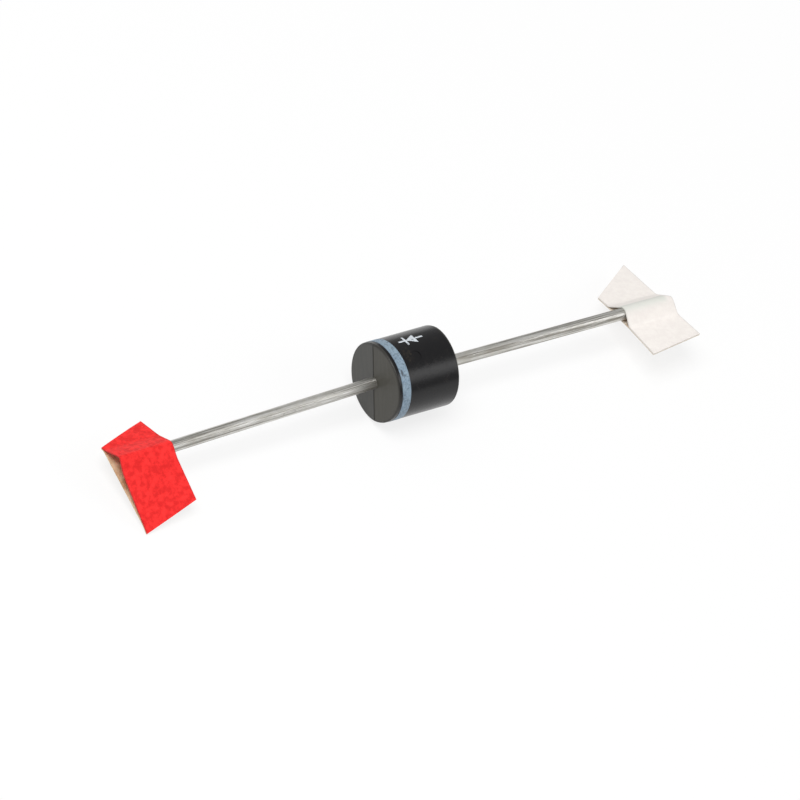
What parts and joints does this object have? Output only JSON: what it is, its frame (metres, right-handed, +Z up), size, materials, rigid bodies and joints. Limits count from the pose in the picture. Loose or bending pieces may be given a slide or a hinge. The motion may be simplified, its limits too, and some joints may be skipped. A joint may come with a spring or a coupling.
{
  "type": "axial rectifier diode",
  "caption": "Moulded cylindrical rectifier diode with a cathode band, two tinned axial leads and the folded ends of its red and white carrier tapes.",
  "frame": {"origin": "middle of the moulded body, on its axis", "axes": "+X along the leads from the cathode to the anode, +Z up as the part lies on a bench, -Y towards the corner of the red tape that props it"},
  "size_m": [0.066, 0.0143, 0.008],
  "materials": {
    "moulding": "semi-gloss moulding compound",
    "band_ink": "printed ink",
    "mark_ink": "printed ink",
    "tinned_lead": "drawn wire with dull tin plating",
    "silicon": "lapped",
    "solder": "dull",
    "coating": "cured junction coating",
    "red_tape": "crepe paper",
    "white_tape": "crepe paper",
    "tape_backing": "kraft paper with adhesive"
  },
  "bodies": {
    "root": {"moulded_body": "moulding", "cathode_band": "band_ink", "polarity_mark": "mark_ink", "cathode_lead": "tinned_lead", "anode_lead": "tinned_lead", "silicon_die": "silicon", "cathode_solder": "solder", "anode_solder": "solder", "junction_coating": "coating", "cathode_tape": "red_tape", "cathode_tape_backing": "tape_backing", "anode_tape": "white_tape", "anode_tape_backing": "tape_backing"}
  },
  "joints": []
}
